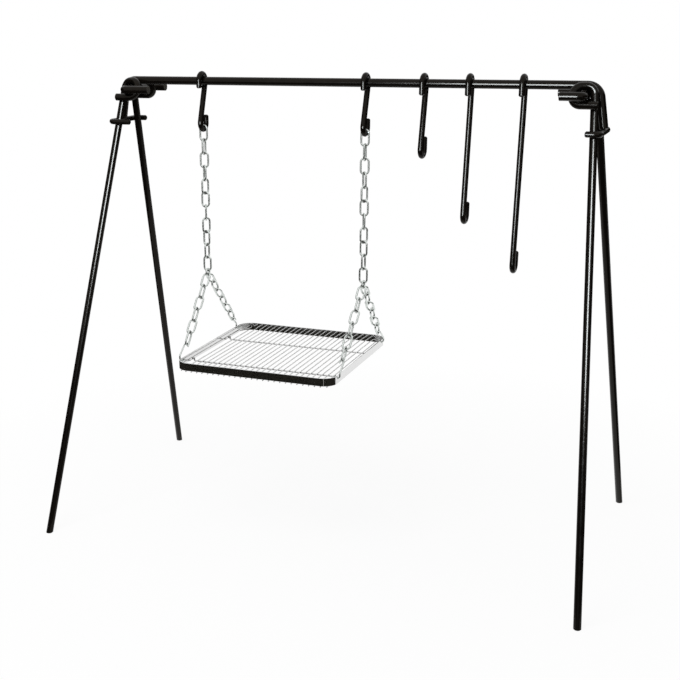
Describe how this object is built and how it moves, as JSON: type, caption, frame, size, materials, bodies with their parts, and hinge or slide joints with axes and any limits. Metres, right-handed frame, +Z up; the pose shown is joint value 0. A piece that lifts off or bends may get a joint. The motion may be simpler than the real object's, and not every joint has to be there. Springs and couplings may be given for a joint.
{
  "type": "campfire cooking stand",
  "caption": "Campfire cooking stand: a crossbar on folding splayed legs, with a square wire grate hung on chains and S-shaped pot hooks.",
  "frame": {"origin": "on the ground under the middle of the stand", "axes": "+X along the crossbar towards the pot hooks, +Y from front to back, +Z up"},
  "size_m": [1.1886, 0.654, 0.9937],
  "materials": {
    "black_paint": "semi-gloss black paint",
    "zinc_plate": "dull zinc plate",
    "chrome_plate": "bright plate"
  },
  "bodies": {
    "stand": {"crossbar": "black_paint", "left_axle_pin": "black_paint", "left_leg_stop": "black_paint", "right_axle_pin": "black_paint", "right_leg_stop": "black_paint"},
    "left_front_leg": {"left_front_leg": "black_paint"},
    "left_back_leg": {"left_back_leg": "black_paint"},
    "right_front_leg": {"right_front_leg": "black_paint"},
    "right_back_leg": {"right_back_leg": "black_paint"},
    "left_hanger": {"left_chain_hook": "black_paint", "left_chain_link_01": "zinc_plate", "left_chain_link_02": "zinc_plate", "left_chain_link_03": "zinc_plate", "left_chain_link_04": "zinc_plate", "left_chain_link_05": "zinc_plate", "left_chain_link_06": "zinc_plate", "left_chain_link_07": "zinc_plate", "left_chain_link_08": "zinc_plate", "left_chain_link_09": "zinc_plate", "left_chain_link_10": "zinc_plate", "left_chain_link_11": "zinc_plate", "left_joint_ring": "zinc_plate"},
    "right_hanger": {"right_chain_hook": "black_paint", "right_chain_link_01": "zinc_plate", "right_chain_link_02": "zinc_plate", "right_chain_link_03": "zinc_plate", "right_chain_link_04": "zinc_plate", "right_chain_link_05": "zinc_plate", "right_chain_link_06": "zinc_plate", "right_chain_link_07": "zinc_plate", "right_chain_link_08": "zinc_plate", "right_chain_link_09": "zinc_plate", "right_chain_link_10": "zinc_plate", "right_chain_link_11": "zinc_plate", "right_joint_ring": "zinc_plate"},
    "grate": {"grate_rim": "chrome_plate", "grate_grid": "chrome_plate", "left_front_bridle": "zinc_plate", "left_front_corner_hook": "zinc_plate", "left_back_bridle": "zinc_plate", "left_back_corner_hook": "zinc_plate", "right_front_bridle": "zinc_plate", "right_front_corner_hook": "zinc_plate", "right_back_bridle": "zinc_plate", "right_back_corner_hook": "zinc_plate"},
    "short_pot_hook": {"short_pot_hook": "black_paint"},
    "medium_pot_hook": {"medium_pot_hook": "black_paint"},
    "long_pot_hook": {"long_pot_hook": "black_paint"}
  },
  "joints": [
    {"name": "left_front_leg_fold", "type": "hinge", "parent": "stand", "child": "left_front_leg", "pos_m": [-0.4885, 0, 0.95585], "axis": [0, -1, 0], "range_deg": [0, 88]},
    {"name": "left_back_leg_fold", "type": "hinge", "parent": "stand", "child": "left_back_leg", "pos_m": [-0.4885, 0, 0.95585], "axis": [0, -1, 0], "range_deg": [0, 88]},
    {"name": "right_front_leg_fold", "type": "hinge", "parent": "stand", "child": "right_front_leg", "pos_m": [0.4885, 0, 0.95585], "axis": [0, 1, 0], "range_deg": [0, 80]},
    {"name": "right_back_leg_fold", "type": "hinge", "parent": "stand", "child": "right_back_leg", "pos_m": [0.4885, 0, 0.95585], "axis": [0, 1, 0], "range_deg": [0, 80]},
    {"name": "left_hanger_swing", "type": "hinge", "parent": "stand", "child": "left_hanger", "pos_m": [-0.32525, 0, 0.973], "axis": [1, 0, 0], "range_deg": [-15, 15]},
    {"name": "right_hanger_swing", "type": "hinge", "parent": "stand", "child": "right_hanger", "pos_m": [0.04625, 0, 0.973], "axis": [1, 0, 0], "range_deg": [-15, 15]},
    {"name": "grate_tilt", "type": "hinge", "parent": "left_hanger", "child": "grate", "pos_m": [-0.1395, 0, 0.5537], "axis": [1, 0, 0], "range_deg": [-10, 10]},
    {"name": "short_pot_hook_swing", "type": "hinge", "parent": "stand", "child": "short_pot_hook", "pos_m": [0.1688, 0, 0.973], "axis": [1, 0, 0], "range_deg": [-20, 20]},
    {"name": "medium_pot_hook_swing", "type": "hinge", "parent": "stand", "child": "medium_pot_hook", "pos_m": [0.2617, 0, 0.973], "axis": [1, 0, 0], "range_deg": [-20, 20]},
    {"name": "long_pot_hook_swing", "type": "hinge", "parent": "stand", "child": "long_pot_hook", "pos_m": [0.3672, 0, 0.973], "axis": [1, 0, 0], "range_deg": [-20, 20]}
  ],
  "couplings": [
    {"joint": "right_hanger_swing", "follows": "left_hanger_swing", "ratio": 1}
  ]
}
